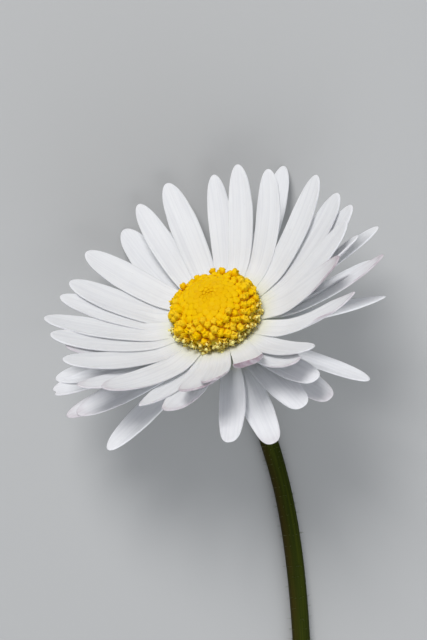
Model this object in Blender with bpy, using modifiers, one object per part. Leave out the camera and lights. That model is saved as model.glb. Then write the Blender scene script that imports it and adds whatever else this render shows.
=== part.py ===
"""A daisy flower, picked and laid down: white rays, yellow disc, green bracts and a cut stem.

The head leans back on two of its lower rays and on its stem. Metres, +Z up.
"""
import math
import random
from collections import namedtuple

import bmesh
import bpy
from mathutils import Matrix, Vector

MM = 0.001

# Head: the centre of the disc's rim, and how far the head leans and turns
HEAD_CENTRE = Vector((0.36, 14.85, 7.5)) * MM
HEAD_TILT = math.radians(44)
HEAD_TURN = math.radians(23.5)

# Rays, measured from the head's centre along its axis and out from it
RAY_ROOT_RADIUS = 3.2 * MM
RAY_THICKNESS = 0.62 * MM
RAY_CURL = {"top": 24, "middle": 18, "low": 8}
ROLL_ENDS = 0.45
RAY_TROUGH = 0.12
ROOT_HEIGHT = {"top": -1.15 * MM, "middle": -1.4 * MM, "low": -1.7 * MM}
ROOT_WIDTH = 0.42
WIDEST_AT = 0.62
TIP_WIDTH = 0.22
LINE_STEPS = 24
BLADE_ROWS = (0, 5, 10, 15, 20, 23, 24)

# Ring that the rays grow from
RING_RADIUS = 3.6 * MM
RING_TOP = -0.9 * MM
RING_BOTTOM = -2.0 * MM

# Disc: a smaller dome that the florets stand out of
DOME_FOOT_RADIUS = 3.0 * MM
DOME_FOOT_HEIGHT = -0.6 * MM
DOME_RADIUS = 3.45 * MM
DOME_MIDDLE_HEIGHT = 0.4 * MM
DOME_RISE = 2.55 * MM
DISC_FLORETS = 140
OPEN_SHARE = 0.40
RIM_ANGLE = math.radians(94)
BUD_RADIUS = 0.30 * MM
FLORET_DEPTH = 0.85 * MM
FLORET_MOUTH = 0.30 * MM
FLORET_THROAT = 0.17 * MM
GOLDEN_ANGLE = math.pi * (3 - math.sqrt(5))

# Green cup and its bracts
CUP_TOP = -2.35 * MM
CUP_FOOT = -4.0 * MM
CUP_RADIUS = 3.1 * MM
CUP_FOOT_RADIUS = 1.1 * MM
BRACTS = 13
BRACT_LENGTH = 3.6 * MM
BRACT_WIDTH = 1.5 * MM
BRACT_THICKNESS = 0.62 * MM
BRACT_RISE_FOOT = 41
BRACT_RISE_FALL = 48

# Stem: it leaves the cup along the head's axis, bends down and lies along the surface
STEM_RADIUS = 0.75 * MM
STEM_REST = 0.725 * MM
STEM_TOP_DEPTH = 4.3 * MM
STEM_TOUCHES = Vector((4.9, -12.8)) * MM
STEM_TOUCH_HEADING = Vector((0.27, -0.963, 0))
STEM_END = Vector((7.4, -42.0)) * MM
STEM_END_HEADING = Vector((0.03, -1.0, 0))

# A ray of the head: azimuth at the root, lift, sway and roll in degrees, length and width in mm.
# Lift is its mean rise above the head's plane. Sway turns it sideways and roll twists it, root to tip,
# and turn is how far it already points sideways at its root.
Ray = namedtuple("Ray", "azimuth length lift sway roll width layer turn", defaults=(0,))
RAYS = (
    Ray(53.5, 10.85, 36, 12.5, 0, 2.2, "top"),
    Ray(68, 10.4, 30, 4, 0, 2.1, "top"),
    Ray(87.5, 10.75, 31, 2, 0, 2.5, "top"),
    Ray(104, 10.35, 29, -6.5, 0, 2.2, "top"),
    Ray(133.4, 10.3, 29.5, -4, 0, 2.65, "top"),
    Ray(167, 11.75, 31, -2, 12, 2.6, "top", turn=2),
    Ray(173, 11.5, 32, -13, 6, 2.6, "top", turn=11),
    Ray(189, 11.55, 33, -18, 8, 2.72, "top", turn=12),
    Ray(205, 11.55, 30, -9, 8, 2.3, "top", turn=3.5),
    Ray(215, 11.2, 34, -1, 0, 2.75, "top"),
    Ray(227.5, 10.85, 30, 3, 0, 1.9, "top"),
    Ray(238, 10.8, 29, 7, 0, 2.8, "top"),
    Ray(246.5, 10.9, 37, 3, 0, 2.9, "top"),
    Ray(256.5, 10.85, 39, 2, 0, 2.2, "top"),
    Ray(279.5, 10.9, 40, -19, 0, 2.4, "top"),
    Ray(289, 10.8, 31, -5, -8, 2.5, "top"),
    Ray(296, 10.9, 31.5, -3, -15, 2.3, "top"),
    Ray(313.6, 11.8, 32, 20, -10, 2.3, "top"),
    Ray(338, 11.5, 27, 0, -20, 2.0, "top"),
    Ray(350, 11.0, 30.5, -2, -22, 1.9, "top"),
    Ray(338.5, 10.6, 40, -14, 0, 2.55, "top"),
    Ray(-1, 11.7, 32, 8, -4, 2.4, "top"),
    Ray(-9, 11.1, 36, 8, 0, 2.2, "top"),
    Ray(5, 11.55, 34, 12, 0, 2.5, "top"),
    Ray(16.5, 11.7, 38, 9.5, 0, 2.35, "top"),
    Ray(31, 10.75, 41, 31, 0, 2.2, "top"),
    Ray(147.8, 10.35, 31, -1, 6, 2.5, "middle"),
    Ray(154.8, 10.7, 28, -3, 4, 2.2, "middle"),
    Ray(239.5, 8.9, 27, 6, 0, 1.9, "middle"),
    Ray(292, 10.7, 20, -3, 0, 2.2, "middle"),
    Ray(341, 11.7, 22, 4, -12, 1.9, "middle"),
    Ray(99, 8.7, 18, 0, 0, 2.1, "low"),
    Ray(115, 10.35, 19, -13, 0, 2.7, "low"),
    Ray(169.8, 9.65, 17, -5, 0, 2.0, "low"),
    Ray(183, 11.25, 15, -3, 0, 2.5, "low"),
    Ray(188, 11.9, 14, -4, 0, 2.6, "low"),
    Ray(199.5, 11.15, 12.5, -3, 0, 2.7, "low"),
    Ray(197.5, 11.85, 11.5, -3, 0, 2.2, "low"),
    Ray(212, 11.3, 4.5, 2, 0, 2.3, "low"),
    Ray(260, 10.9, 13.5, -8, 0, 2.2, "low"),
    Ray(269.5, 10.85, 5.5, 2, 0, 2.2, "low"),
    Ray(285, 10.25, 12.5, -5, 0, 2.45, "low"),
    Ray(294, 10.4, 7.5, -4, 0, 2.3, "low"),
    Ray(308, 11.1, 1.5, -3, -22, 1.9, "low"),
    Ray(334, 10.95, 12, 2, -18, 2.0, "low"),
    Ray(3, 11.8, 13.5, 2, -18, 2.1, "low"),
    Ray(45.5, 12.8, 13.5, 11, 0, 2.3, "low"),
)

COLOURS = {
    "ray_florets": ((0.84, 0.85, 0.87), 0.5),
    "disc_florets": ((0.86, 0.50, 0.01), 0.6),
    "involucre": ((0.13, 0.22, 0.05), 0.6),
    "stem": ((0.17, 0.21, 0.05), 0.55),
}


def clear_scene():
    for obj in list(bpy.data.objects):
        bpy.data.objects.remove(obj, do_unlink=True)


def material(name):
    colour, roughness = COLOURS[name]
    made = bpy.data.materials.new(name)
    made.use_nodes = True
    shader = made.node_tree.nodes["Principled BSDF"]
    shader.inputs["Base Color"].default_value = (*colour, 1.0)
    shader.inputs["Roughness"].default_value = roughness
    shader.inputs["Metallic"].default_value = 0.0
    return made


def collection(name):
    made = bpy.data.collections.new(name)
    bpy.context.scene.collection.children.link(made)
    return made


def mesh_object(name, shape, home):
    """A new object from a bmesh, with faces out and the bmesh freed."""
    bmesh.ops.recalc_face_normals(shape, faces=shape.faces)
    mesh = bpy.data.meshes.new(name)
    shape.to_mesh(mesh)
    shape.free()
    obj = bpy.data.objects.new(name, mesh)
    home.objects.link(obj)
    return obj


def settle(obj):
    """Replaces an object's mesh by what its modifiers make of it."""
    depsgraph = bpy.context.evaluated_depsgraph_get()
    settled = bpy.data.meshes.new_from_object(obj.evaluated_get(depsgraph))
    obj.modifiers.clear()
    obj.data = settled


def thicken(obj, thickness):
    solidify = obj.modifiers.new("thickness", "SOLIDIFY")
    solidify.thickness = thickness
    solidify.offset = 0
    settle(obj)


def turned(name, profile, home, steps):
    """A solid of revolution. The profile runs down its outer side, from the axis to the axis."""
    shape = bmesh.new()
    corners = [shape.verts.new((radius, 0, height)) for radius, height in profile]
    for upper, lower in zip(corners, corners[1:]):
        shape.edges.new((upper, lower))
    mesh = bpy.data.meshes.new(name)
    shape.to_mesh(mesh)
    shape.free()
    obj = bpy.data.objects.new(name, mesh)
    home.objects.link(obj)
    screw = obj.modifiers.new("turn", "SCREW")
    screw.steps = steps
    screw.render_steps = steps
    screw.use_merge_vertices = True
    screw.merge_threshold = 0.00001
    settle(obj)
    return obj


def fuse(body, pieces):
    """Joins every object of a collection to the body, and removes them."""
    union = body.modifiers.new("fuse", "BOOLEAN")
    union.operation = "UNION"
    union.operand_type = "COLLECTION"
    union.collection = pieces
    union.solver = "EXACT"
    settle(body)
    for obj in list(pieces.objects):
        bpy.data.objects.remove(obj, do_unlink=True)
    bpy.data.collections.remove(pieces)


def finish(obj, head):
    """Hangs a finished sub-part on the head, with its own material and smooth shading."""
    obj.parent = head
    obj.data.materials.clear()
    obj.data.materials.append(material(obj.name))
    obj.data.shade_smooth()
    obj.data.set_sharp_from_angle(angle=math.radians(40))


def width_at(s):
    """A ray's width at the fraction s of its length, as a share of its widest."""
    if s < WIDEST_AT:
        swell = math.sin(math.pi / 2 * s / WIDEST_AT)
        return ROOT_WIDTH + (1 - ROOT_WIDTH) * swell
    towards_tip = (s - WIDEST_AT) / (1 - WIDEST_AT)
    return max(TIP_WIDTH, (1 - towards_tip ** 2.4) ** (1 / 2.2))


def ray_line(ray):
    """The ray's middle line: at each step its point, its sideways direction and its upward one."""
    root = math.radians(ray.azimuth)
    point = Vector((math.cos(root), math.sin(root), 0)) * RAY_ROOT_RADIUS
    point.z = ROOT_HEIGHT[ray.layer]
    step = ray.length * MM / LINE_STEPS
    line = []
    for index in range(LINE_STEPS + 1):
        s = index / LINE_STEPS
        rise = math.radians(ray.lift + RAY_CURL[ray.layer] * (s - 0.5))
        heading = math.radians(ray.azimuth + ray.turn + ray.sway * s)
        roll = math.radians(ray.roll * min(1.0, s / ROLL_ENDS))
        level_side = Vector((-math.sin(heading), math.cos(heading), 0))
        outward = Vector((math.cos(heading), math.sin(heading), 0))
        level_up = Vector((0, 0, 1)) * math.cos(rise) - outward * math.sin(rise)
        side = level_side * math.cos(roll) + level_up * math.sin(roll)
        up = level_up * math.cos(roll) - level_side * math.sin(roll)
        line.append((point.copy(), side, up))
        point += (outward * math.cos(rise) + Vector((0, 0, math.sin(rise)))) * step
    return line


def blade(name, line, rows, half_width, trough, thickness, home):
    """A thin blade along a line: a grid, shaped by the line's frames, split alike and thickened."""
    shape = bmesh.new()
    across = 2
    bmesh.ops.create_grid(shape, x_segments=across, y_segments=len(rows) - 1, size=1)
    for vert in shape.verts:
        row = rows[round((vert.co.y + 1) / 2 * (len(rows) - 1))]
        offset = vert.co.x
        point, side, up = line[row]
        half = half_width(row / (len(line) - 1))
        vert.co = point + side * (half * offset) + up * (trough * half * 2 * offset * offset)
    bmesh.ops.triangulate(shape, faces=shape.faces, quad_method="FIXED")
    obj = mesh_object(name, shape, home)
    thicken(obj, thickness)
    return obj


def make_ray_florets(home):
    ring = turned(
        "ray_florets",
        ((0, RING_TOP), (RING_RADIUS, RING_TOP), (RING_RADIUS, RING_BOTTOM), (0, RING_BOTTOM)),
        home,
        steps=32,
    )
    blades = collection("rays")
    for number, ray in enumerate(RAYS):
        half = ray.width * MM / 2
        blade(
            f"ray_{number}",
            ray_line(ray),
            BLADE_ROWS,
            lambda s: half * width_at(s),
            RAY_TROUGH,
            RAY_THICKNESS,
            blades,
        )
    fuse(ring, blades)
    return ring


def dome_point(angle, azimuth):
    """A point of the disc's dome and its outward direction, at an angle from the top."""
    radius = DOME_RADIUS * math.sin(angle)
    height = DOME_MIDDLE_HEIGHT + DOME_RISE * math.cos(angle)
    point = Vector((radius * math.cos(azimuth), radius * math.sin(azimuth), height))
    outward = Vector((
        math.sin(angle) * math.cos(azimuth) / DOME_RADIUS,
        math.sin(angle) * math.sin(azimuth) / DOME_RADIUS,
        math.cos(angle) / DOME_RISE,
    ))
    return point, outward.normalized()


def make_disc_florets(home):
    angles = [math.radians(step) for step in range(0, 91, 15)]
    crown = [(DOME_RADIUS * math.sin(a), DOME_MIDDLE_HEIGHT + DOME_RISE * math.cos(a)) for a in angles]
    foot = [(DOME_FOOT_RADIUS, DOME_FOOT_HEIGHT), (0, DOME_FOOT_HEIGHT)]
    dome = turned("disc_florets", crown + foot, home, steps=24)
    florets = collection("florets")
    rng = random.Random(7)
    for number in range(DISC_FLORETS):
        share = (number + 0.5) / DISC_FLORETS
        angle = math.acos(1 - share * (1 - math.cos(RIM_ANGLE)))
        azimuth = number * GOLDEN_ANGLE
        point, outward = dome_point(angle, azimuth)
        turn = outward.to_track_quat("Z", "Y").to_matrix().to_4x4()
        spin = Matrix.Rotation(rng.uniform(0, math.tau), 4, "Z")
        shape = bmesh.new()
        if share < 1 - OPEN_SHARE:
            radius = BUD_RADIUS * rng.uniform(0.92, 1.08)
            bmesh.ops.create_icosphere(shape, subdivisions=1, radius=radius)
            lift = rng.uniform(-0.06, 0.04) * MM
        else:
            bmesh.ops.create_cone(
                shape,
                cap_ends=True,
                segments=5,
                radius1=FLORET_THROAT,
                radius2=FLORET_MOUTH * rng.uniform(0.9, 1.05),
                depth=FLORET_DEPTH,
            )
            lift = rng.uniform(-0.05, 0.08) * MM
        place = Matrix.Translation(point + outward * lift) @ turn @ spin
        bmesh.ops.transform(shape, matrix=place, verts=shape.verts)
        mesh_object(f"floret_{number}", shape, florets)
    fuse(dome, florets)
    return dome


def bract_line(azimuth, start_height, length):
    """A bract's middle line: up along the cup, then bending outward under the rays."""
    outward = Vector((math.cos(azimuth), math.sin(azimuth), 0))
    side = Vector((-math.sin(azimuth), math.cos(azimuth), 0))
    point = outward * (CUP_FOOT_RADIUS + 0.25 * MM) + Vector((0, 0, start_height))
    steps = 8
    line = []
    for index in range(steps + 1):
        rise = math.radians(BRACT_RISE_FOOT - BRACT_RISE_FALL * index / steps)
        up = Vector((0, 0, 1)) * math.cos(rise) - outward * math.sin(rise)
        line.append((point.copy(), side, up))
        point += (outward * math.cos(rise) + Vector((0, 0, math.sin(rise)))) * (length / steps)
    return line


def make_involucre(home):
    cup = turned(
        "involucre",
        (
            (0, CUP_TOP),
            (CUP_RADIUS, CUP_TOP),
            (CUP_RADIUS - 0.3 * MM, CUP_TOP - 0.7 * MM),
            (CUP_FOOT_RADIUS + 0.7 * MM, CUP_FOOT + 0.35 * MM),
            (CUP_FOOT_RADIUS, CUP_FOOT),
            (0, CUP_FOOT),
        ),
        home,
        steps=24,
    )
    bracts = collection("bracts")
    for number in range(BRACTS):
        azimuth = math.tau * number / BRACTS
        inner_row = number % 2
        start = CUP_FOOT + (0.30 if inner_row else 0.12) * MM
        length = BRACT_LENGTH * (1.04 if inner_row else 0.96)
        blade(
            f"bract_{number}",
            bract_line(azimuth, start, length),
            (0, 3, 6, 8),
            lambda s: BRACT_WIDTH / 2 * (0.6 + 0.4 * math.sin(math.pi * min(1, s * 1.15))),
            0.1,
            BRACT_THICKNESS,
            bracts,
        )
    fuse(cup, bracts)
    return cup


def bend(start, start_heading, end, end_heading, pull, count):
    """Points of a smooth bend between two places, each with its own heading."""
    leave = start + start_heading.normalized() * pull
    arrive = end - end_heading.normalized() * pull
    points = []
    for index in range(count):
        t = index / count
        points.append(
            start * (1 - t) ** 3
            + leave * (3 * t * (1 - t) ** 2)
            + arrive * (3 * t * t * (1 - t))
            + end * t ** 3
        )
    return points


def make_stem(home):
    lean = Matrix.Rotation(HEAD_TURN, 3, "Z") @ Matrix.Rotation(-HEAD_TILT, 3, "X")
    axis = lean @ Vector((0, 0, 1))
    top = HEAD_CENTRE - axis * STEM_TOP_DEPTH
    touch = Vector((HEAD_CENTRE.x + STEM_TOUCHES.x, HEAD_CENTRE.y + STEM_TOUCHES.y, STEM_REST))
    end = Vector((HEAD_CENTRE.x + STEM_END.x, HEAD_CENTRE.y + STEM_END.y, STEM_REST))
    points = bend(top, -axis, touch, STEM_TOUCH_HEADING, 3.9 * MM, 8)
    points += bend(touch, STEM_TOUCH_HEADING, end, STEM_END_HEADING, 9.0 * MM, 9)
    points.append(end)
    curve = bpy.data.curves.new("stem", "CURVE")
    curve.dimensions = "3D"
    curve.bevel_depth = STEM_RADIUS
    curve.bevel_resolution = 3
    curve.use_fill_caps = True
    curve.render_resolution_u = 0
    spline = curve.splines.new("POLY")
    spline.points.add(len(points) - 1)
    for knot, point in zip(spline.points, points):
        knot.co = (*point, 1)
    stem = bpy.data.objects.new("stem", curve)
    home.objects.link(stem)
    curve.materials.append(material("stem"))
    return stem


def level_underside(obj):
    """Cuts what would reach below the surface, so that the lowest rays rest on flat spots."""
    cutters = collection("cutters")
    bpy.ops.mesh.primitive_cube_add(size=0.1, location=(0, 0, -0.05))
    slab = bpy.context.object
    slab.name = "surface_cutter"
    for home in list(slab.users_collection):
        home.objects.unlink(slab)
    cutters.objects.link(slab)
    slab.display_type = "WIRE"
    slab.hide_render = True
    cut = obj.modifiers.new("level", "BOOLEAN")
    cut.operation = "DIFFERENCE"
    cut.solver = "EXACT"
    cut.object = slab


def main():
    clear_scene()
    daisy = collection("daisy_flower")
    head = bpy.data.objects.new("head", None)
    daisy.objects.link(head)
    head.location = HEAD_CENTRE
    head.rotation_euler = (-HEAD_TILT, 0, HEAD_TURN)
    rays = make_ray_florets(daisy)
    for part in (rays, make_disc_florets(daisy), make_involucre(daisy)):
        finish(part, head)
    make_stem(daisy)
    bpy.context.view_layer.update()
    level_underside(rays)


main()
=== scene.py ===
"""A daisy flower, picked and laid down: the looks of its rays, disc, bracts and stem. Metres, +Z up."""
import math
import random
from collections import namedtuple

import bmesh
import bpy
from mathutils import Matrix, Vector, noise


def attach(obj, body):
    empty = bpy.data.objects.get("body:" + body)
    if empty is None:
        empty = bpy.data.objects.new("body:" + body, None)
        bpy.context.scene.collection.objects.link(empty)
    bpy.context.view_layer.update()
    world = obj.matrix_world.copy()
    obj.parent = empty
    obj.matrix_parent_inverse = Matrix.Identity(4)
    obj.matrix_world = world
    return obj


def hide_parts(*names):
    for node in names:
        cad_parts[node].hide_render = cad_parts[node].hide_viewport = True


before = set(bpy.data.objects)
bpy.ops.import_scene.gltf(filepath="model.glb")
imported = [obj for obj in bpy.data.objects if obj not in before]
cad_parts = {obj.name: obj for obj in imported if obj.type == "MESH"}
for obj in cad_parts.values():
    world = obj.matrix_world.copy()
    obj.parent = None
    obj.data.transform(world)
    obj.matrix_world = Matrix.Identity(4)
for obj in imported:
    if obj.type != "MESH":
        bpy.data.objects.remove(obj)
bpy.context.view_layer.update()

MM = 0.001
Z_AXIS = Vector((0, 0, 1))

# Head: the centre of the disc's rim, and how far the head leans and turns, as in the part
HEAD_CENTRE = Vector((0.36, 14.85, 7.5)) * MM
HEAD_TILT = math.radians(44)
HEAD_TURN = math.radians(23.5)
LEAN = Matrix.Rotation(HEAD_TURN, 4, "Z") @ Matrix.Rotation(-HEAD_TILT, 4, "X")
HEAD = Matrix.Translation(HEAD_CENTRE) @ LEAN

# Camera: straight above the flower, at the photograph's distance
CAMERA_PLACE = Vector((-0.084, 14.447, 150.66)) * MM
CAMERA_LENS = 100
CAMERA_SENSOR = 36

# Lamps: name, place and size in metres, power and colour
LAMPS = (
    ("key", (-0.09, 0.21, 0.265), 0.16, 0.90, (1.0, 0.99, 0.975)),
    ("fill", (0.10, -0.22, 0.20), 0.30, 0.66, (0.96, 0.98, 1.0)),
)

# Ray florets, measured from the head's centre. Top and middle roots rise and reach in, up to the disc.
ROOT_RADIUS = 3.2 * MM
ROOT_HEIGHT = {"top": -1.15 * MM, "middle": -1.4 * MM, "low": -1.7 * MM}
RAY_CURL = {"top": 24, "middle": 18, "low": 8}
ROOT_RISE = 0.50 * MM
ROOT_REACH = 0.30 * MM
ROOT_WIDTH = 0.50
WIDEST_AT = 0.58
TIP_STARTS = 0.66
PETAL_THICKNESS = 0.15 * MM
PETAL_ALONG = 26
PETAL_ACROSS = 12
LINE_STEPS = 40
SECTION_STEPS = 8
GROOVE_AT = 0.36
GROOVE_WIDTH = 0.14
GROOVE_DEPTH = 0.035 * MM
EDGE_WAVE = 0.05 * MM
HEM_SOFTNESS = 0.12
HEM_GROWS = 0.25
LOWEST = 0.09 * MM

# Disc: its dome, and the florets that stand on it from the top down to the rim's angle
DOME_RADIUS = 3.40 * MM
DOME_MIDDLE = 0.4 * MM
DOME_RISE = 2.35 * MM
DOME_DIMPLE = 0.22 * MM
RIM_ANGLE = math.radians(108)
FLORETS = 285
CROWDING = 0.85
FLORET_CRUMPLE = 0.12 * MM

# A few florets stand out of the disc's far edge: their azimuths and angles from the top, in degrees
PROUD_FLORETS = (33, 57, 70, 121)
PROUD_SPREAD = 3.2
PROUD_BETWEEN = (54, 72)
PROUD_LIFT = 0.34 * MM

# Core of the disc, under the florets
CORE_DEPTH = 0.05 * MM
CORE_TOP_DEPTH = 0.25 * MM
CORE_FOOT = ((3.0 * MM, -0.4 * MM), (2.9 * MM, -1.1 * MM), (0, -1.1 * MM))
DISC_SHIFT = Vector((-0.16, 0.02, 0)) * MM
DISC = HEAD @ Matrix.Translation(DISC_SHIFT)
GOLDEN_ANGLE = math.pi * (3 - math.sqrt(5))

# Curled styles round the disc's foot
CURLS = 70
CURL_RADIUS = 3.05 * MM
CURL_COLOURS = {"rim": 0.6, "green": 1.0}

# Green cup and its bracts. The cup's profile is in millimetres, from its top down.
CUP_PROFILE = (
    (0, -0.9), (3.1, -0.9), (3.3, -1.1), (3.35, -1.5), (3.2, -2.1),
    (2.85, -2.8), (2.2, -3.4), (1.4, -3.85), (0.95, -4.15), (0, -4.2),
)
CUP_FOOT = -4.0 * MM
CUP_FOOT_RADIUS = 1.1 * MM
BRACTS = 13
BRACT_LENGTH = 3.6 * MM
BRACT_WIDTH = 1.5 * MM
BRACT_THICKNESS = 0.3 * MM
BRACT_FOOT_OUT = 0.12 * MM
BRACT_FOOT_UP = {"outer": 0.05 * MM, "inner": 0.26 * MM}
BRACT_ROW_LENGTH = {"outer": 0.96, "inner": 1.04}
BRACT_RISE = 44
BRACT_STEPS = 16
BRACT_KEEL = 0.10 * MM
BRACT_ARCH = 0.20 * MM
BRACT_END_ARCH = 0.16 * MM

# Stem: where it touches the surface and where it is cut, from the head's centre, and its hairs
STEM_RADIUS = 0.75 * MM
STEM_REST = 0.725 * MM
STEM_TOP_DEPTH = 4.1 * MM
STEM_TOUCHES = (4.9 * MM, -12.8 * MM)
STEM_TOUCH_HEADING = Vector((0.27, -0.963, 0))
STEM_END = (7.4 * MM, -42.0 * MM)
STEM_END_HEADING = Vector((0.03, -1.0, 0))
STEM_SIDES = 24
STEM_LOWEST = 0.01 * MM
STEM_HAIRS = 420
HAIR_RADIUS = 0.012 * MM
HAIR_LOWEST = 0.05 * MM

# How a ray's end is rounded: the two powers of its arc, and the depth of its notch
ENDS = {
    "round": (2.1, 2.0, 0.0),
    "blunt": (2.8, 2.4, 0.0),
    "pointed": (1.4, 1.3, 0.0),
    "notched": (2.4, 2.1, 0.035),
}

# A ray: its number, azimuth at the root, length (mm), lift, sway and roll (degrees), width (mm) and layer.
# curl bends it up along its length, turn skews it at the root, cup raises its edges, pink colours its end
# mauve and also paints the shade on curled and folded ends, lip turns the very end up (mm) and lets that
# painted shade go darker, and hem folds the edge on one side up, with painted shade under the fold: the side,
# where across the ray, the angle and where along it.
Ray = namedtuple(
    "Ray",
    "number azimuth length lift sway roll width layer curl turn cup pink end lip hem",
    defaults=(None, 0, 14, 0.1, "round", 0, None),
)
RAYS = (
    Ray(1, 53.5, 10.85, 36, 12.5, 0, 2.2, "top"),
    Ray(2, 68, 10.4, 30, 4, 0, 2.1, "top"),
    Ray(3, 87.5, 10.75, 31, 2, 0, 2.5, "top"),
    Ray(4, 104, 10.35, 29, -6.5, 0, 2.2, "top"),
    Ray(5, 99, 8.7, 18, 0, 0, 2.1, "low"),
    Ray(6, 115, 10.35, 19, -13, 0, 2.7, "low"),
    Ray(7, 123.5, 10.3, 29.5, 2, 0, 2.65, "top", turn=10.4),
    Ray(8, 144.5, 10.35, 31, -1, 6, 2.6, "middle", curl=22, turn=4.5),
    Ray(9, 153.5, 10.7, 30, -3, 4, 2.3, "middle", turn=3),
    Ray(10, 167, 11.75, 31, -2, 12, 2.6, "top", turn=2),
    Ray(11, 173, 11.5, 32, -13, 6, 2.6, "top", turn=11),
    Ray(12, 182.5, 10.4, 31, -5, 0, 2.1, "middle", curl=20, pink=0.5),
    Ray(13, 189, 11.55, 33, -18, 8, 2.72, "top", turn=12),
    Ray(14, 183, 11.25, 15, -3, 0, 2.5, "low"),
    Ray(15, 188, 11.9, 14, -4, 0, 2.6, "low", cup=50, pink=0.2, end="notched"),
    Ray(16, 204.3, 11.7, 30, -9, 8, 2.3, "top", turn=3.5, pink=0.4),
    Ray(17, 215, 11.3, 34, -1, 0, 2.75, "top", pink=0.45),
    Ray(18, 199.5, 11.15, 12.5, -3, 0, 2.7, "low", pink=0.4),
    Ray(45, 197.5, 11.85, 11.5, -3, 0, 2.2, "low", pink=0.5),
    Ray(19, 212, 11.3, 4.5, 2, 0, 2.3, "low"),
    Ray(20, 227.5, 10.85, 30, 3, 0, 1.9, "top", pink=0.3, end="pointed"),
    Ray(21, 238, 10.8, 29, 7, 0, 2.8, "top", pink=0.5, end="blunt"),
    Ray(46, 239.5, 8.9, 27, 6, 0, 1.9, "middle"),
    Ray(22, 247.5, 10.8, 37, 3, 0, 3.0, "top", pink=0.8, end="blunt"),
    Ray(23, 253.5, 10.5, 39, 10, 0, 2.2, "top", pink=0.7, end="blunt"),
    Ray(24, 260, 10.9, 13.5, -8, 0, 2.2, "low", end="blunt"),
    Ray(25, 268.8, 10.85, 5.5, 2, 0, 2.35, "low", pink=0.3, end="blunt"),
    Ray(26, 285, 10.25, 12.5, -5, 0, 2.45, "low", end="blunt"),
    Ray(27, 292, 10.7, 20, -3, 0, 2.2, "middle", end="blunt"),
    Ray(28, 294, 10.4, 7.5, -4, 0, 2.3, "low", pink=0.4, end="blunt"),
    Ray(29, 308, 11.1, 1.5, -3, -22, 1.9, "low"),
    Ray(30, 277.3, 10.4, 40, -17, 0, 2.45, "top", pink=1.5, lip=0.25),
    Ray(31, 289, 10.8, 31, -5, -8, 2.5, "top", pink=0.5),
    Ray(32, 296, 10.9, 31.5, -3, -15, 2.3, "top"),
    Ray(33, 313.6, 11.8, 32, 20, -10, 2.3, "top", pink=0.5, end="pointed", hem=(-1, 0.72, 85, 0.45)),
    Ray(34, 334, 10.95, 12, 2, -18, 2.0, "low", end="pointed"),
    Ray(35, 335.2, 12.9, 28, 4, -8, 1.5, "top", pink=0.7, cup=8),
    Ray(36, 341.5, 11.1, 24, 0, -24, 1.9, "middle", cup=62),
    Ray(37, 3, 11.8, 13.5, 2, -18, 2.1, "low"),
    Ray(38, 350, 11.0, 30.5, -2, -22, 1.9, "top", cup=40),
    Ray(39, 338.5, 10.6, 40, -14, 0, 2.55, "top", pink=0.8, hem=(-1, 0.6, 130, 0.78)),
    Ray(40, -1, 11.7, 32, 8, -4, 2.4, "top"),
    Ray(47, -9, 11.1, 36, 8, 0, 2.2, "top"),
    Ray(41, 5, 11.55, 34, 12, 0, 2.5, "top"),
    Ray(42, 16.5, 11.7, 38, 9.5, 0, 2.35, "top"),
    Ray(43, 45.5, 12.8, 13.5, 11, 0, 2.3, "low"),
    Ray(44, 31, 10.75, 41, 31, 0, 2.2, "top"),
)

# A kind of floret: its profile (radius and height, from foot to top, for a radius of 1), how deep its five
# lobes are and where they start, whether it has a style, and its size and stretch at the top of the dome.
# The last two say how much both change towards the rim.
Kind = namedtuple("Kind", "profile lobes lobes_from style size stretch size_change stretch_change")
KINDS = {
    "bud": Kind(
        ((0, -1.0), (0.92, -1.0), (1.02, -0.05), (0.84, 0.34), (0.42, 0.54), (0, 0.52)),
        0.10, 0.2, False, 1.36, 0.20, -0.14, 0.62,
    ),
    "opening": Kind(
        (
            (0, -0.9), (0.80, -0.9), (1.02, 0.10), (1.00, 0.66),
            (0.74, 0.98), (0.40, 1.02), (0.20, 0.86), (0, 0.76),
        ),
        0.42, 0.4, False, 1.18, 1.05, 0, 0,
    ),
    "open": Kind(
        ((0, -0.9), (0.48, -0.9), (0.62, 0.45), (1.00, 0.84), (0.94, 1.00), (0.50, 0.80), (0, 0.4)),
        0.60, 0.6, True, 1.05, 1.2, 0, 0,
    ),
}
STYLE = ((0, 0.2), (0.22, 0.3), (0.24, 0.9), (0.40, 1.12), (0.36, 1.36), (0, 1.5))
DISC_PIECES = {"bud": "disc_buds", "opening": "disc_opening_florets", "open": "disc_open_florets"}
FLORET_LAYERS = ("tone", "rim", "green", "depth", "pollen")


def smooth(value, start, stop):
    """0 before start, 1 after stop, and an even ramp between them."""
    t = min(1.0, max(0.0, (value - start) / (stop - start)))
    return t * t * (3 - 2 * t)


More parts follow.
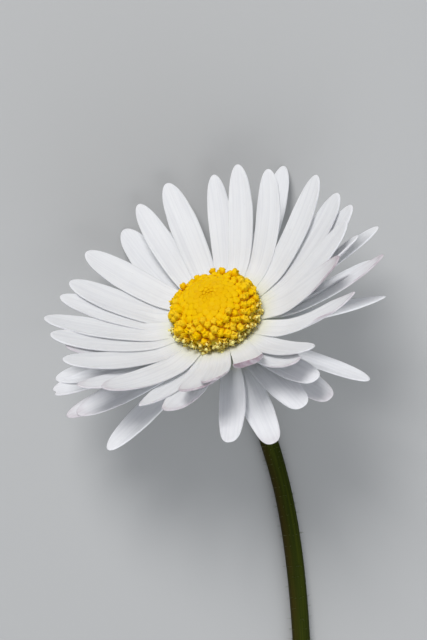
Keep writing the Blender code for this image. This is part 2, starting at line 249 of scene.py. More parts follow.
class Finish:
    """A material being put together. Each add() makes one node and returns its output."""

    def __init__(self, name, **shader_values):
        self.material = bpy.data.materials.new(name)
        self.material.use_nodes = True
        self.tree = self.material.node_tree
        self.shader = self.tree.nodes["Principled BSDF"]
        self.output = self.tree.nodes["Material Output"]
        for socket, value in shader_values.items():
            self.shader.inputs[socket.replace("_", " ")].default_value = value

    def feed(self, socket, value):
        """Gives a socket a constant, or another node's output."""
        if isinstance(value, bpy.types.NodeSocket):
            self.tree.links.new(value, socket)
        else:
            socket.default_value = value

    def add(self, kind, inputs, out=0, **settings):
        node = self.tree.nodes.new(kind)
        for key, value in settings.items():
            setattr(node, key, value)
        for key, value in inputs.items():
            self.feed(node.inputs[key], value)
        return node.outputs[out]

    def attribute(self, name, out="Fac"):
        return self.add("ShaderNodeAttribute", {}, out=out, attribute_name=name)

    def math(self, operation, *values):
        return self.add("ShaderNodeMath", dict(enumerate(values)), operation=operation)

    def ramp(self, value, low, high, to_low=0.0, to_high=1.0):
        return self.add(
            "ShaderNodeMapRange",
            {"Value": value, "From Min": low, "From Max": high, "To Min": to_low, "To Max": to_high},
            interpolation_type="SMOOTHSTEP",
        )

    def mix(self, factor, first, second, blend="MIX"):
        node = self.tree.nodes.new("ShaderNodeMix")
        node.data_type = "RGBA"
        node.blend_type = blend
        self.feed(node.inputs["Factor"], factor)
        self.feed([s for s in node.inputs if s.name == "A" and s.type == "RGBA"][0], first)
        self.feed([s for s in node.inputs if s.name == "B" and s.type == "RGBA"][0], second)
        return [s for s in node.outputs if s.type == "RGBA"][0]

    def noise(self, vector, scale, detail=2.0, roughness=0.5, stretch=None):
        if stretch:
            vector = self.add("ShaderNodeMapping", {"Vector": vector, "Scale": stretch})
        inputs = {"Vector": vector, "Scale": scale, "Detail": detail, "Roughness": roughness}
        return self.add("ShaderNodeTexNoise", inputs)

    def place(self):
        return self.add("ShaderNodeTexCoord", {}, out="Object")

    def colour(self, value):
        self.feed(self.shader.inputs["Base Color"], value)

    def bump(self, height, strength, distance):
        inputs = {"Height": height, "Strength": strength, "Distance": distance}
        normal = self.add("ShaderNodeBump", inputs, out="Normal")
        self.feed(self.shader.inputs["Normal"], normal)
        return normal

    def let_light_through(self, share, colour, normal):
        """Mixes in light that crosses a thin leaf or petal."""
        through = self.add("ShaderNodeBsdfTranslucent", {"Color": colour, "Normal": normal})
        surface = self.shader.outputs["BSDF"]
        both = self.add("ShaderNodeMixShader", {0: share, 1: surface, 2: through})
        self.feed(self.output.inputs["Surface"], both)


WHITE = (0.875, 0.885, 0.915, 1)
CREAM = (0.86, 0.88, 0.60, 1)
VEIN_GREY = (0.70, 0.71, 0.76, 1)
# mauve of the rays' blush, darkened so that it also paints the shade on curled and folded ends
MAUVE_BLUSH_AND_SHADE = (0.31, 0.16, 0.23, 1)
SPECK = (0.42, 0.40, 0.40, 1)
PETAL_LIGHT = (0.88, 0.89, 0.86, 1)

GOLD_DEEP = (0.81, 0.46, 0.0, 1)
GOLD = (0.86, 0.53, 0.0, 1)
# brighter gold for the rim's florets: painted light
GOLD_RIM_PAINTED_LIGHT = (0.95, 0.62, 0.0, 1)
GOLD_SHADE = (0.86, 0.48, 0.0, 1)
GOLD_RIM_SHADE = (0.93, 0.50, 0.0, 1)
GOLD_GRAIN = (0.76, 0.38, 0.001, 1)
GOLD_LIGHT = (0.95, 0.66, 0.01, 1)
# olive green that a floret's painted shade takes towards the disc's rim
FLORET_GREEN_PAINTED_SHADE = (0.86, 0.84, 0.08, 1)
POLLEN = (0.98, 0.93, 0.36, 1)
CORE_MIDDLE = (0.84, 0.45, 0.002, 1)
CORE_BROWN = (0.52, 0.22, 0.002, 1)
CORE_GREEN = (0.86, 0.84, 0.07, 1)
CORE_GRAIN = (0.50, 0.48, 0.03, 1)

LEAF_FOOT = (0.16, 0.25, 0.07, 1)
LEAF_END = (0.07, 0.13, 0.035, 1)
LEAF_VEIN = (0.22, 0.31, 0.11, 1)
LEAF_GRAIN = (0.09, 0.15, 0.04, 1)
LEAF_MARGIN = (0.30, 0.36, 0.20, 1)
# the stem's green, rib and brown colours are painted dark: painted shade over the whole stem
STEM_GREEN_PAINTED_SHADE = (0.019, 0.026, 0.002, 1)
STEM_RIB_PAINTED_SHADE = (0.030, 0.039, 0.003, 1)
STEM_BROWN_PAINTED_SHADE = (0.036, 0.026, 0.005, 1)
STEM_CUT = (0.16, 0.22, 0.06, 1)
HAIR_PALE = (0.13, 0.15, 0.07, 1)
FLOOR_GREY = (0.40, 0.405, 0.41, 1)


def petal_finish(name, blush_and_shade_layer, blush_and_shade_share):
    """White petal: fine veins along it, cream at its root, mauve where it blushes and as painted shade on
    curled and folded ends, a few specks.
    """
    finish = Finish(name, Roughness=0.58, Specular_IOR_Level=0.32, Sheen_Weight=0.08)
    uv = finish.add("ShaderNodeUVMap", {}, uv_map="petal")
    along = finish.add("ShaderNodeSeparateXYZ", {"Vector": uv}, out="Y")
    veins = finish.noise(uv, 1.0, detail=2.0, stretch=(15.0, 0.9, 1.0))
    clouds = finish.noise(uv, 1.0, detail=2.0, stretch=(2.2, 3.0, 1.0))
    vein_share = finish.ramp(veins, 0.42, 0.66, 0.0, 0.34)
    colour = finish.mix(vein_share, WHITE, VEIN_GREY)
    colour = finish.mix(finish.ramp(clouds, 0.45, 0.75, 0.0, 0.2), colour, VEIN_GREY)
    colour = finish.mix(finish.ramp(along, 0.02, 0.22, 0.55, 0.0), colour, CREAM)
    blush_and_shade = finish.math("MULTIPLY", finish.attribute(blush_and_shade_layer), blush_and_shade_share)
    patches = finish.noise(uv, 1.0, detail=3.0, stretch=(8.0, 5.0, 1.0))
    uneven = finish.ramp(patches, 0.3, 0.7, 0.55, 1.0)
    # the mauve mix is the blush and also painted shade on curled and folded ends
    colour = finish.mix(finish.math("MULTIPLY", blush_and_shade, uneven), colour, MAUVE_BLUSH_AND_SHADE)
    speck_place = finish.add("ShaderNodeMapping", {"Vector": uv, "Scale": (2.0, 9.0, 1.0)})
    specks = finish.add("ShaderNodeTexVoronoi", {"Vector": speck_place, "Scale": 1.0})
    colour = finish.mix(finish.ramp(specks, 0.02, 0.06, 0.25, 0.0), colour, SPECK)
    finish.colour(colour)
    normal = finish.bump(veins, 0.35, 0.06 * MM)
    finish.let_light_through(0.22, PETAL_LIGHT, normal)
    return finish.material


def floret_finish(name):
    """Golden floret: painted orange shade in its depths, bright on top, pale where its pollen shows."""
    finish = Finish(name, Roughness=0.6, Specular_IOR_Level=0.04)
    place = finish.place()
    depth = finish.attribute("depth")
    tone = finish.attribute("tone")
    pollen = finish.attribute("pollen")
    grain = finish.noise(place, 5200.0, detail=3.0)
    bright = finish.mix(tone, GOLD_DEEP, GOLD)
    # painted light: florets towards the rim get a brighter gold, and a lighter painted shade, against the
    # shade on the disc's sloping edge
    bright = finish.mix(finish.attribute("rim"), bright, GOLD_RIM_PAINTED_LIGHT)
    shade = finish.mix(finish.attribute("rim"), GOLD_SHADE, GOLD_RIM_SHADE)
    shade = finish.mix(finish.attribute("green"), shade, FLORET_GREEN_PAINTED_SHADE)
    # painted shade: the depth layer darkens each floret's foot and throat
    colour = finish.mix(finish.ramp(depth, 0.1, 1.0), bright, shade)
    colour = finish.mix(finish.ramp(grain, 0.35, 0.7, 0.0, 0.2), colour, GOLD_GRAIN)
    colour = finish.mix(pollen, colour, POLLEN)
    finish.colour(colour)
    normal = finish.bump(grain, 0.5, 0.03 * MM)
    finish.let_light_through(0.11, GOLD_LIGHT, normal)
    return finish.material


def core_finish(name):
    """What shows between the florets: olive green at the rim, orange brown in the middle."""
    finish = Finish(name, Roughness=0.7, Specular_IOR_Level=0.2)
    grain = finish.noise(finish.place(), 2600.0, detail=3.0)
    rim = finish.attribute("rim")
    colour = finish.mix(finish.ramp(rim, 0.0, 0.5), CORE_MIDDLE, CORE_BROWN)
    colour = finish.mix(finish.ramp(rim, 0.5, 0.9), colour, CORE_GREEN)
    colour = finish.mix(finish.ramp(grain, 0.35, 0.7, 0.0, 0.3), colour, CORE_GRAIN)
    finish.colour(colour)
    finish.bump(grain, 0.6, 0.06 * MM)
    return finish.material


def leaf_finish(name):
    """Green bract: darker towards its end, a paler middle vein and margin."""
    finish = Finish(name, Roughness=0.6, Specular_IOR_Level=0.35, Sheen_Weight=0.2)
    uv = finish.add("ShaderNodeUVMap", {}, uv_map="petal")
    along = finish.add("ShaderNodeSeparateXYZ", {"Vector": uv}, out="Y")
    veins = finish.noise(uv, 1.0, detail=2.0, stretch=(12.0, 1.2, 1.0))
    grain = finish.noise(finish.place(), 3000.0, detail=3.0)
    colour = finish.mix(finish.ramp(along, 0.0, 1.0), LEAF_FOOT, LEAF_END)
    colour = finish.mix(finish.ramp(veins, 0.45, 0.65, 0.0, 0.5), colour, LEAF_VEIN)
    colour = finish.mix(finish.ramp(grain, 0.3, 0.7, 0.0, 0.35), colour, LEAF_GRAIN)
    colour = finish.mix(finish.attribute("margin"), colour, LEAF_MARGIN)
    finish.colour(colour)
    finish.bump(veins, 0.5, 0.08 * MM)
    return finish.material


def stem_finish(name):
    """Green stem, painted dark as if in deep shade: fine ribs along it, reddish brown on one flank."""
    finish = Finish(name, Roughness=0.6, Specular_IOR_Level=0.04)
    uv = finish.add("ShaderNodeUVMap", {}, uv_map="stem")
    ribs = finish.noise(uv, 1.0, detail=3.0, stretch=(26.0, 6.0, 1.0))
    clouds = finish.noise(finish.place(), 260.0, detail=3.0)
    flank = finish.attribute("flank")
    colour = finish.mix(finish.ramp(ribs, 0.4, 0.65), STEM_GREEN_PAINTED_SHADE, STEM_RIB_PAINTED_SHADE)
    brown_share = finish.math("MULTIPLY", flank, finish.ramp(clouds, 0.3, 0.65, 0.35, 0.9))
    colour = finish.mix(brown_share, colour, STEM_BROWN_PAINTED_SHADE)
    finish.colour(colour)
    finish.bump(ribs, 0.5, 0.06 * MM)
    return finish.material


def plain_finish(name, colour, roughness):
    """One colour with a fine darker grain."""
    finish = Finish(name, Roughness=roughness)
    grain = finish.noise(finish.place(), 1800.0, detail=3.0)
    darker = tuple(0.8 * c for c in colour[:3]) + (1,)
    finish.colour(finish.mix(finish.ramp(grain, 0.35, 0.7, 0.0, 0.6), colour, darker))
    finish.bump(grain, 0.3, 0.03 * MM)
    return finish.material


def new_piece(name, shape, materials, node):
    """A finished piece from a bmesh that is in place: it rides on the root and stands for its CAD node."""
    mesh = bpy.data.meshes.new(name)
    shape.to_mesh(mesh)
    shape.free()
    obj = bpy.data.objects.new(name, mesh)
    bpy.context.scene.collection.objects.link(obj)
    for material in materials:
        mesh.materials.append(material)
    mesh.shade_smooth()
    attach(obj, "root")
    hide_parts(node)
    return obj


def thicken(obj, thickness, lower_material=0):
    """Gives a blade its thickness, with another material underneath, and rounds it."""
    solidify = obj.modifiers.new("thickness", "SOLIDIFY")
    solidify.thickness = thickness
    solidify.offset = 0
    solidify.material_offset = lower_material
    rounding = obj.modifiers.new("rounding", "SUBSURF")
    rounding.levels = 1
    rounding.render_levels = 1


def width_at(s):
    """A ray's width at the fraction s of its length, as a share of its widest."""
    if s < WIDEST_AT:
        return ROOT_WIDTH + (1 - ROOT_WIDTH) * math.sin(math.pi / 2 * (s / WIDEST_AT) ** 0.75)
    return 1 - 0.10 * ((s - WIDEST_AT) / (1 - WIDEST_AT)) ** 2


def end_at(end, across):
    """How far along a ray's column reaches, so that the ray's end is an arc."""
    first, second, notch = ENDS[end]
    arc = (1 - min(1.0, abs(across)) ** first) ** (1 / second)
    return TIP_STARTS + (1 - TIP_STARTS) * arc - notch * math.exp(-((across / 0.13) ** 2))


def ray_line(ray):
    """The ray's middle line, in the head's frame: at each step its point, sideways and upward directions."""
    root = math.radians(ray.azimuth)
    point = Vector((math.cos(root), math.sin(root), 0)) * ROOT_RADIUS
    point.z = ROOT_HEIGHT[ray.layer]
    step = ray.length * MM / LINE_STEPS
    curl = RAY_CURL[ray.layer] if ray.curl is None else ray.curl
    line = []
    for index in range(LINE_STEPS + 1):
        s = index / LINE_STEPS
        rise = math.radians(ray.lift + curl * (s - 0.5))
        heading = math.radians(ray.azimuth + ray.turn + ray.sway * s)
        roll = math.radians(ray.roll * smooth(s, 0.0, 0.45))
        outward = Vector((math.cos(heading), math.sin(heading), 0))
        level_side = Vector((-math.sin(heading), math.cos(heading), 0))
        level_up = Z_AXIS * math.cos(rise) - outward * math.sin(rise)
        side = level_side * math.cos(roll) + level_up * math.sin(roll)
        up = level_up * math.cos(roll) - level_side * math.sin(roll)
        line.append((point.copy(), side, up))
        point += (outward * math.cos(rise) + Z_AXIS * math.sin(rise)) * step
    return line


def on_line(line, s):
    """The point and directions at the fraction s of a line."""
    place = s * (len(line) - 1)
    index = min(len(line) - 2, int(place))
    share = place - index
    return [a.lerp(b, share) for a, b in zip(line[index], line[index + 1])]


def section(ray, across, s):
    """Where a point lies across the ray: sideways and up from its middle line, in half widths."""
    sideways = 0.0
    upward = 0.0
    for step in range(SECTION_STEPS):
        at = across * (step + 0.5) / SECTION_STEPS
        slope = ray.cup * at
        if ray.hem:
            side, where, angle, starts = ray.hem
            past_fold = smooth(at * side, where - HEM_SOFTNESS, where + HEM_SOFTNESS)
            slope += side * angle * past_fold * smooth(s, starts, starts + HEM_GROWS)
        sideways += math.cos(math.radians(slope)) * across / SECTION_STEPS
        upward += math.sin(math.radians(slope)) * across / SECTION_STEPS
    return sideways, upward


def groove_at(across):
    """The two shallow grooves that run along a ray."""
    one = math.exp(-(((across - GROOVE_AT) / GROOVE_WIDTH) ** 2))
    other = math.exp(-(((across + GROOVE_AT) / GROOVE_WIDTH) ** 2))
    return one + other


def raised_root(ray, point, s):
    """A point of the middle line, moved up and in near the root where the ray isn't a low one."""
    if ray.layer == "low":
        return point
    inward = Vector((-point.x, -point.y, 0)).normalized()
    return point + (Z_AXIS * ROOT_RISE + inward * ROOT_REACH) * (1 - smooth(s, 0.0, 0.3))


def blush_and_shade_at(ray, across, reach, s):
    """How mauve the ray is at a point, on its upper side and underneath: its blush, with painted shade on
    folded hems and curled lips.
    """
    rim = max(
        smooth(abs(across), 0.85, 1.0) * smooth(s, 0.5, 0.9),
        smooth(reach, 0.95 - 0.05 * ray.pink, 0.985),
    )
    tip = smooth(s, 1 - 0.5 * ray.pink, 1.02)
    above = max(0.0, rim * (0.8 * ray.pink - 0.05)) + 0.35 * ray.pink * tip
    below = rim * 0.25 + smooth(s, 0.35, 1.0) * (0.15 + 0.6 * ray.pink)
    # painted shade on the underside of a folded hem
    if ray.hem:
        side, where, _, starts = ray.hem
        below += smooth(across * side, where, 1.0) * smooth(s, starts, 0.9)
    # a lip lets the mauve go darker than the blush alone: painted shade on the curled-up end
    return min(1.0 + ray.lip, above), min(1.0, below)


def make_ray(ray, materials):
    """One ray floret: a grid laid along its line, cupped, grooved and rounded at its end."""
    shape = bmesh.new()
    bmesh.ops.create_grid(shape, x_segments=PETAL_ACROSS, y_segments=PETAL_ALONG, size=1)
    uv = shape.loops.layers.uv.new("petal")
    upper_blush_and_shade = shape.verts.layers.float.new("blush_and_shade")
    lower_blush_and_shade = shape.verts.layers.float.new("blush_and_shade_below")
    line = ray_line(ray)
    half = ray.width * MM / 2
    for face in shape.faces:
        for loop in face.loops:
            x, y = loop.vert.co.x, loop.vert.co.y
            s = (y + 1) / 2 * end_at(ray.end, x)
            loop[uv].uv = ((x + 1) / 2 + ray.number, s)
    for vert in shape.verts:
        across = vert.co.x
        reach = (vert.co.y + 1) / 2
        s = reach * end_at(ray.end, across)
        point, side, up = on_line(line, s)
        sideways, upward = section(ray, across, s)
        width = half * width_at(s)
        groove_fade = smooth(s, 0.05, 0.3) * (1 - smooth(reach, 0.85, 1.0))
        wave = noise.noise(Vector((s * 4.0, ray.number * 7.1, 3.0 if across > 0 else 9.0)))
        height = upward * width - GROOVE_DEPTH * groove_at(across) * groove_fade
        height += EDGE_WAVE * wave * across * across + ray.lip * MM * smooth(reach, 0.90, 1.0)
        place = HEAD @ (raised_root(ray, point, s) + side * (sideways * width) + up * height)
        place.z = max(place.z, LOWEST)
        vert[upper_blush_and_shade], vert[lower_blush_and_shade] = blush_and_shade_at(ray, across, reach, s)
        vert.co = place
    bmesh.ops.recalc_face_normals(shape, faces=shape.faces)
    shape.faces.ensure_lookup_table()
    middle = shape.faces[len(shape.faces) // 2 + PETAL_ACROSS // 2]
    if middle.normal.dot(HEAD.to_3x3() @ line[LINE_STEPS // 2][2]) < 0:
        bmesh.ops.reverse_faces(shape, faces=shape.faces)
    obj = new_piece(f"ray_{ray.number:02d}", shape, materials, "ray_florets")
    thicken(obj, PETAL_THICKNESS, lower_material=1)


def dome_point(angle, azimuth):
    """A point of the disc's dome and its outward direction, at an angle from the top."""
    radius = DOME_RADIUS * math.sin(angle)
    dimple = DOME_DIMPLE * (1 - smooth(angle, 0.0, math.radians(16)))
    height = DOME_MIDDLE + DOME_RISE * math.cos(angle) - dimple
    point = Vector((radius * math.cos(azimuth), radius * math.sin(azimuth), height))
    outward = Vector((
        math.sin(angle) * math.cos(azimuth) / DOME_RADIUS,
        math.sin(angle) * math.sin(azimuth) / DOME_RADIUS,
        math.cos(angle) / DOME_RISE,
    ))
    return point, outward.normalized()


def spun(profile, segments):
    """A bmesh made by turning a profile about the Z axis. It starts and ends on the axis."""
    shape = bmesh.new()
    corners = [shape.verts.new((radius, 0, height)) for radius, height in profile]
    edges = [shape.edges.new(pair) for pair in zip(corners, corners[1:])]
    bmesh.ops.spin(
        shape,
        geom=corners + edges,
        axis=Z_AXIS,
        cent=(0, 0, 0),
        steps=segments,
        angle=math.tau,
        use_merge=True,
    )
    bmesh.ops.remove_doubles(shape, verts=shape.verts, dist=1e-7)
    bmesh.ops.recalc_face_normals(shape, faces=shape.faces)
    return shape


def floret_form(name, kind):
    """A floret's mesh, made once: five lobes by drawing in every second side, and its colour layers."""
    shape = spun(kind.profile, 10)
    for vert in shape.verts:
        radius = math.hypot(vert.co.x, vert.co.y)
        azimuth = math.atan2(vert.co.y, vert.co.x)
        rising = smooth(vert.co.z, kind.lobes_from - 0.4, kind.lobes_from + 0.3)
        depth = kind.lobes * rising * smooth(radius, 0.3, 0.8)
        pull = 1 - depth * 0.5 * (1 - math.cos(5 * azimuth))
        vert.co.x *= pull
        vert.co.y *= pull
    # depth: where painted shade darkens a floret, low on it and in its throat
    painted_shade_layer = shape.verts.layers.float.new("depth")
    pollen_layer = shape.verts.layers.float.new("pollen")
    top = max(z for _, z in kind.profile)
    for vert in shape.verts:
        in_throat = kind.style and math.hypot(vert.co.x, vert.co.y) < 0.4
        vert[painted_shade_layer] = 0.8 if in_throat else 1 - smooth(vert.co.z, -0.2, top * 0.75)
    if kind.style:
        style = spun(STYLE, 6)
        mesh = bpy.data.meshes.new("style")
        style.to_mesh(mesh)
        style.free()
        before = len(shape.verts)
        shape.from_mesh(mesh)
        shape.verts.ensure_lookup_table()
        for vert in shape.verts[before:]:
            vert[pollen_layer] = smooth(vert.co.z, 1.0, 1.7)
        bpy.data.meshes.remove(mesh)
    mesh = bpy.data.meshes.new(name)
    shape.to_mesh(mesh)
    shape.free()
    return mesh


def plant(shape, form, place, values):
    """Adds one floret to the disc, turned and sized by place, with its colour values, and crumples it."""
    before = len(shape.verts)
    shape.from_mesh(form)
    shape.verts.ensure_lookup_table()
    fresh = shape.verts[before:]
    layers = shape.verts.layers.float
    for vert in fresh:
        for name in ("tone", "rim", "green"):
            vert[layers[name]] = values[name]
        dusted = vert[layers["pollen"]] + values["pollen"] * smooth(vert.co.z, 0.3, 1.0)
        vert[layers["pollen"]] = min(1.0, dusted)
    bmesh.ops.transform(shape, matrix=place, verts=fresh)
    for vert in fresh:
        fine = noise.noise_vector(vert.co * 11000) * 0.4
        vert.co += (noise.noise_vector(vert.co * 4200) + fine) * (FLORET_CRUMPLE * values["rim"])


def random_spin(rng):
    """A turn about the Z axis by a random angle."""
    return Matrix.Rotation(rng.uniform(0, math.tau), 4, "Z")


def plant_floret(number, groups, forms, rng):
    """One floret of the spiral: closed in the middle, open at the rim, and uneven away from the top."""
    angle = RIM_ANGLE * ((number + 0.5) / FLORETS) ** CROWDING
    azimuth = number * GOLDEN_ANGLE
    front = 0.5 - 0.5 * math.sin(azimuth + HEAD_TURN * 0.5)
    opens = math.radians(55 - 13 * front + rng.uniform(-5, 5))
    opened = math.radians(84 - 6 * front + rng.uniform(-6, 6))
    name = "bud" if angle < opens else "opening" if angle < opened else "open"
    kind = KINDS[name]
    uneven = smooth(angle, math.radians(30), math.radians(58))
    angle += rng.uniform(-1, 1) * math.radians(2.2) * uneven
    azimuth += rng.uniform(-1, 1) * math.radians(2.5) * uneven
    point, outward = dome_point(angle, azimuth)
    size = room_at(angle) * (kind.size + kind.size_change * uneven)
    size *= rng.uniform(1 - 0.26 * uneven, 1 + 0.14 * uneven)
    stretch = (kind.stretch + kind.stretch_change * uneven) * rng.uniform(0.9, 1.15)
    lift = rng.uniform(-0.09, 0.13) * MM * (0.1 + uneven)
    proud = stands_out(angle, azimuth)
    lift += PROUD_LIFT * proud
    size *= 1 - 0.15 * proud
    tilt = Vector((rng.uniform(-1, 1), rng.uniform(-1, 1), rng.uniform(-1, 1))) * (0.05 + 0.20 * uneven)
    rising = Z_AXIS * (0.25 + 0.55 * smooth(angle, math.radians(75), RIM_ANGLE))
    turn = (outward + rising + tilt).to_track_quat("Z", "Y").to_matrix().to_4x4()
    spin = random_spin(rng)
    grow = Matrix.Diagonal((size, size * rng.uniform(0.88, 1.0), size * stretch, 1))
    place = DISC @ Matrix.Translation(point + outward * lift) @ turn @ spin @ grow
    at_rim = smooth(angle, math.radians(78), math.radians(94))
    values = {
        "pollen": 0.06 * rng.random() + rng.uniform(0.3, 1.0) * at_rim,
        "rim": smooth(angle, math.radians(15), math.radians(62)),
        "green": smooth(angle, math.radians(76), math.radians(98)),
        "tone": rng.random(),
    }
    plant(groups[name], forms[name], place, values)


def plant_curl(number, group, form, rng):
    """One of the pale curled styles that stand out round the disc's foot."""
    azimuth = math.tau * (number + rng.uniform(-0.35, 0.35)) / CURLS
    height = rng.uniform(-0.50, -0.15) * MM
    foot = Vector((CURL_RADIUS * math.cos(azimuth), CURL_RADIUS * math.sin(azimuth), height))
    outward = Vector((math.cos(azimuth), math.sin(azimuth), rng.uniform(0.35, 1.3)))
    outward += Vector((-math.sin(azimuth), math.cos(azimuth), 0)) * rng.uniform(-0.7, 0.7)
    turn = outward.to_track_quat("Z", "Y").to_matrix().to_4x4()
    spin = random_spin(rng)
    size = rng.uniform(0.27, 0.38) * MM
    grow = Matrix.Diagonal((size, size * 0.8, size * rng.uniform(1.1, 1.5), 1))
    place = DISC @ Matrix.Translation(foot) @ turn @ spin @ grow
    values = {"tone": rng.random(), "pollen": rng.uniform(0.5, 1.0), **CURL_COLOURS}
    plant(group, form, place, values)


def make_core(material):
    """The dome under the florets, just below their feet."""
    rings = [
        (
            (DOME_RADIUS - CORE_DEPTH) * math.sin(math.radians(angle)),
            DOME_MIDDLE + (DOME_RISE - CORE_DEPTH) * math.cos(math.radians(angle)),
        )
        for angle in range(15, 91, 15)
    ]
    top = (0, DOME_MIDDLE + DOME_RISE - CORE_TOP_DEPTH)
    core = spun([top, *rings, *CORE_FOOT], 48)
    rim_layer = core.verts.layers.float.new("rim")
    for vert in core.verts:
        vert[rim_layer] = smooth(DOME_RISE + DOME_MIDDLE - vert.co.z, 0.4 * MM, 3.0 * MM)
    bmesh.ops.transform(core, matrix=DISC, verts=core.verts)
    new_piece("disc_core", core, [material], "disc_florets")


def make_disc(golden, core_material):
    """The disc: closed buds in the middle, opening and open florets, curled styles at the rim, and a core."""
    rng = random.Random(7)
    # without a seed, the noise that crumples the florets would differ at each run
    noise.seed_set(5)
    forms = {name: floret_form(name, kind) for name, kind in KINDS.items()}
    groups = {}
    for name in KINDS:
        groups[name] = bmesh.new()
        for layer in FLORET_LAYERS:
            groups[name].verts.layers.float.new(layer)
    for number in range(FLORETS):
        plant_floret(number, groups, forms, rng)
    for number in range(CURLS):
        plant_curl(number, groups["open"], forms["open"], rng)
    for name, group in groups.items():
        new_piece(DISC_PIECES[name], group, [golden], "disc_florets")
    make_core(core_material)


def stands_out(angle, azimuth):
    """1 for the few florets that stand out of the disc's far edge, and 0 for the others."""
    at = math.degrees(azimuth) % 360
    near = any(abs(at - proud) < PROUD_SPREAD for proud in PROUD_FLORETS)
    return 1 if near and PROUD_BETWEEN[0] < math.degrees(angle) < PROUD_BETWEEN[1] else 0


def room_at(angle):
    """The radius that a floret has to itself at an angle from the dome's top."""
    ring = math.tau * DOME_RADIUS * math.sin(angle)
    band = math.hypot(DOME_RADIUS * math.cos(angle), DOME_RISE * math.sin(angle))
    florets = FLORETS / (CROWDING * RIM_ANGLE) * (angle / RIM_ANGLE) ** (1 / CROWDING - 1)
    return 0.55 * math.sqrt(ring * band / florets)


def make_cup(material):
    """The green cup under the head, pale at its top, where the rays and the disc stand on it."""
    shape = spun([(radius * MM, height * MM) for radius, height in CUP_PROFILE], 40)
    pale = shape.verts.layers.float.new("margin")
    for vert in shape.verts:
        vert[pale] = smooth(vert.co.z, -1.6 * MM, -1.0 * MM)
    bmesh.ops.transform(shape, matrix=HEAD, verts=shape.verts)
    new_piece("green_cup", shape, [material], "involucre")


def bract_line(azimuth, row, length):
    """A bract's middle line: up along the cup, then bending outward under the rays."""
    outward = Vector((math.cos(azimuth), math.sin(azimuth), 0))
    side = Vector((-math.sin(azimuth), math.cos(azimuth), 0))
    point = outward * (CUP_FOOT_RADIUS + BRACT_FOOT_OUT) + Z_AXIS * (CUP_FOOT + BRACT_FOOT_UP[row])
    line = []
    for index in range(BRACT_STEPS + 1):
        rise = math.radians(BRACT_RISE - BRACT_RISE * index / BRACT_STEPS)
        up = Z_AXIS * math.cos(rise) - outward * math.sin(rise)
        line.append((point.copy(), side, up))
        point += (outward * math.cos(rise) + Z_AXIS * math.sin(rise)) * (length / BRACT_STEPS)
    return line


def make_bracts(material):
    """Thirteen bracts in two rows, each a pointed leaf that hugs the cup and spreads under the rays."""
    rng = random.Random(3)
    for number in range(BRACTS):
        row = "inner" if number % 2 else "outer"
        length = BRACT_LENGTH * BRACT_ROW_LENGTH[row] * rng.uniform(0.97, 1.03)
        line = bract_line(math.tau * number / BRACTS, row, length)
        shape = bmesh.new()
        bmesh.ops.create_grid(shape, x_segments=8, y_segments=14, size=1)
        uv = shape.loops.layers.uv.new("petal")
        margin = shape.verts.layers.float.new("margin")
        for face in shape.faces:
            for loop in face.loops:
                loop[uv].uv = ((loop.vert.co.x + 1) / 2 + number, (loop.vert.co.y + 1) / 2)
        for vert in shape.verts:
            across = vert.co.x
            s = (vert.co.y + 1) / 2 * end_at("pointed", across)
            point, side, up = on_line(line, s)
            width = BRACT_WIDTH / 2 * (0.62 + 0.38 * math.sin(math.pi * min(1, s * 1.1)))
            keel = -BRACT_KEEL * math.exp(-((across / 0.22) ** 2))
            arch = -BRACT_ARCH * across * across + BRACT_END_ARCH * across * across * smooth(s, 0.5, 1.0)
            vert[margin] = smooth(abs(across), 0.82, 1.0) * 0.6
            vert.co = HEAD @ (point + side * (across * width) + up * (arch + keel))
        bmesh.ops.recalc_face_normals(shape, faces=shape.faces)
        obj = new_piece(f"bract_{number + 1:02d}", shape, [material], "involucre")
        thicken(obj, BRACT_THICKNESS)


def bend(start, start_heading, end, end_heading, pull, count):
    """Points of a smooth bend between two places, each with its own heading."""
    leave = start + start_heading.normalized() * pull
    arrive = end - end_heading.normalized() * pull
    points = []
    for index in range(count):
        t = index / count
        points.append(
            start * (1 - t) ** 3
            + leave * (3 * t * (1 - t) ** 2)
            + arrive * (3 * t * t * (1 - t))
            + end * t ** 3
        )
    return points


def stem_path():
    """The stem's middle line: from the cup down to the surface, and along it to the cut end."""
    axis = LEAN.to_3x3() @ Z_AXIS
    top = HEAD_CENTRE - axis * STEM_TOP_DEPTH
    touch = Vector((HEAD_CENTRE.x + STEM_TOUCHES[0], HEAD_CENTRE.y + STEM_TOUCHES[1], STEM_REST))
    end = Vector((HEAD_CENTRE.x + STEM_END[0], HEAD_CENTRE.y + STEM_END[1], STEM_REST))
    points = bend(top, -axis, touch, STEM_TOUCH_HEADING, 3.9 * MM, 28)
    points += bend(touch, STEM_TOUCH_HEADING, end, STEM_END_HEADING, 9.0 * MM, 34)
    points.append(end)
    return points


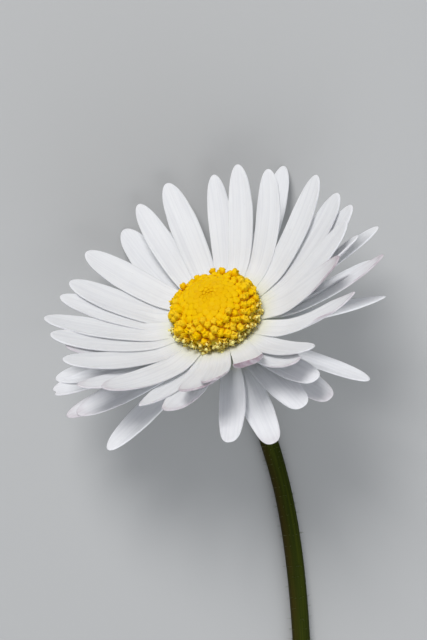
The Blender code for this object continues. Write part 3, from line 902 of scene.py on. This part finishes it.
def make_stem(material, cut_material):
    """The stem: a ribbed tube with a slightly spread top and a clean cut."""
    points = stem_path()
    shape = bmesh.new()
    bmesh.ops.create_grid(shape, x_segments=STEM_SIDES, y_segments=len(points) - 1, size=1)
    uv = shape.loops.layers.uv.new("stem")
    flank = shape.verts.layers.float.new("flank")
    for face in shape.faces:
        for loop in face.loops:
            loop[uv].uv = ((loop.vert.co.x + 1) / 2, (loop.vert.co.y + 1) / 2)
    for vert in shape.verts:
        share = (vert.co.y + 1) / 2
        centre, side, up = stem_frame(points, share)
        angle = (vert.co.x + 1) * math.pi
        rib = 1 + 0.022 * math.cos(7 * angle + 2 * share)
        direction = side * math.cos(angle) + up * math.sin(angle)
        place = centre + direction * (stem_radius(share) * rib)
        place.z = max(place.z, STEM_LOWEST)
        vert[flank] = smooth(-direction.x, -0.1, 0.8)
        vert.co = place
    bmesh.ops.remove_doubles(shape, verts=shape.verts, dist=1e-6)
    open_edges = [edge for edge in shape.edges if edge.is_boundary]
    caps = bmesh.ops.holes_fill(shape, edges=open_edges, sides=STEM_SIDES + 2)["faces"]
    for cap in caps:
        cap.material_index = 1
    bmesh.ops.inset_region(shape, faces=caps, thickness=0.12 * MM, depth=-0.05 * MM, use_even_offset=True)
    bmesh.ops.recalc_face_normals(shape, faces=shape.faces)
    new_piece("stem", shape, [material, cut_material], "stem")


def stem_frame(points, share):
    """A place on the stem's middle line, with its sideways and upward directions."""
    index = min(len(points) - 1, round(share * (len(points) - 1)))
    before = points[max(0, index - 1)]
    after = points[min(len(points) - 1, index + 1)]
    heading = (after - before).normalized()
    side = heading.cross(Z_AXIS).normalized()
    return points[index], side, side.cross(heading)


def stem_radius(share):
    """The stem's radius, spread at its top and slightly uneven."""
    spread = 1 + 0.30 * (1 - smooth(share, 0.0, 0.10))
    return STEM_RADIUS * (spread + 0.03 * noise.noise(Vector((share * 9, 0, 0))))


def make_stem_hairs(material):
    """Short pale hairs that stand out of the stem."""
    rng = random.Random(11)
    points = stem_path()
    form = spun(((0, 0), (1, 0), (0.6, 0.6), (0, 1)), 3)
    hair = bpy.data.meshes.new("hair")
    form.to_mesh(hair)
    form.free()
    shape = bmesh.new()
    for _ in range(STEM_HAIRS):
        share = rng.uniform(0.02, 0.985)
        centre, side, up = stem_frame(points, share)
        angle = rng.uniform(-0.35, math.pi + 0.35)
        direction = side * math.cos(angle) + up * math.sin(angle)
        lean = Vector((rng.uniform(-1, 1), rng.uniform(-1, 1), rng.uniform(-0.4, 1))) * 0.35
        length = rng.uniform(0.25, 0.5) * MM
        root = centre + direction * (stem_radius(share) * 0.96)
        tip = root + (direction + lean).normalized() * length
        if min(root.z, tip.z) < HAIR_LOWEST:
            continue
        turn = (tip - root).to_track_quat("Z", "Y").to_matrix().to_4x4()
        size = Matrix.Diagonal((HAIR_RADIUS, HAIR_RADIUS, length, 1))
        before = len(shape.verts)
        shape.from_mesh(hair)
        shape.verts.ensure_lookup_table()
        bmesh.ops.transform(shape, matrix=Matrix.Translation(root) @ turn @ size, verts=shape.verts[before:])
    bpy.data.meshes.remove(hair)
    new_piece("stem_hairs", shape, [material], "stem")


def make_floor():
    """A plain pale floor that the flower lies on."""
    bpy.ops.mesh.primitive_plane_add(size=3.0)
    floor = bpy.context.object
    floor.name = "floor"
    finish = Finish("floor_paper", Roughness=0.9, Specular_IOR_Level=0.1)
    finish.colour(FLOOR_GREY)
    floor.data.materials.append(finish.material)


def make_lights():
    """Soft studio light: a pale world, a large key lamp behind the head and a fill lamp in front of it."""
    world = bpy.data.worlds.new("studio")
    world.use_nodes = True
    background = world.node_tree.nodes["Background"]
    background.inputs["Color"].default_value = (0.93, 0.96, 1.0, 1)
    background.inputs["Strength"].default_value = 0.36
    bpy.context.scene.world = world
    for name, place, size, energy, colour in LAMPS:
        lamp = bpy.data.lights.new(name, "AREA")
        lamp.shape = "DISK"
        lamp.size = size
        lamp.energy = energy
        lamp.color = colour
        obj = bpy.data.objects.new(name, lamp)
        bpy.context.scene.collection.objects.link(obj)
        obj.location = place
        aim = HEAD_CENTRE - Vector(place)
        obj.rotation_euler = aim.to_track_quat("-Z", "Y").to_euler()


def make_camera():
    """The photograph's view: straight down on the lying flower."""
    camera = bpy.data.cameras.new("camera")
    camera.lens = CAMERA_LENS
    camera.sensor_width = CAMERA_SENSOR
    camera.clip_start = 0.01
    camera.clip_end = 10
    obj = bpy.data.objects.new("camera", camera)
    bpy.context.scene.collection.objects.link(obj)
    obj.location = CAMERA_PLACE
    bpy.context.scene.camera = obj


def main():
    make_camera()
    make_floor()
    make_lights()
    bpy.context.scene.view_settings.view_transform = "Standard"
    petal = petal_finish("petal_white", "blush_and_shade", 0.8)
    petal_below = petal_finish("petal_underside", "blush_and_shade_below", 0.85)
    green = leaf_finish("bract_green")
    for ray in RAYS:
        make_ray(ray, [petal, petal_below])
    make_disc(floret_finish("floret_golden"), core_finish("disc_core"))
    make_cup(green)
    make_bracts(green)
    make_stem(stem_finish("stem_green_painted_shade"), plain_finish("stem_cut", STEM_CUT, 0.5))
    make_stem_hairs(plain_finish("hair_pale", HAIR_PALE, 0.6))


main()
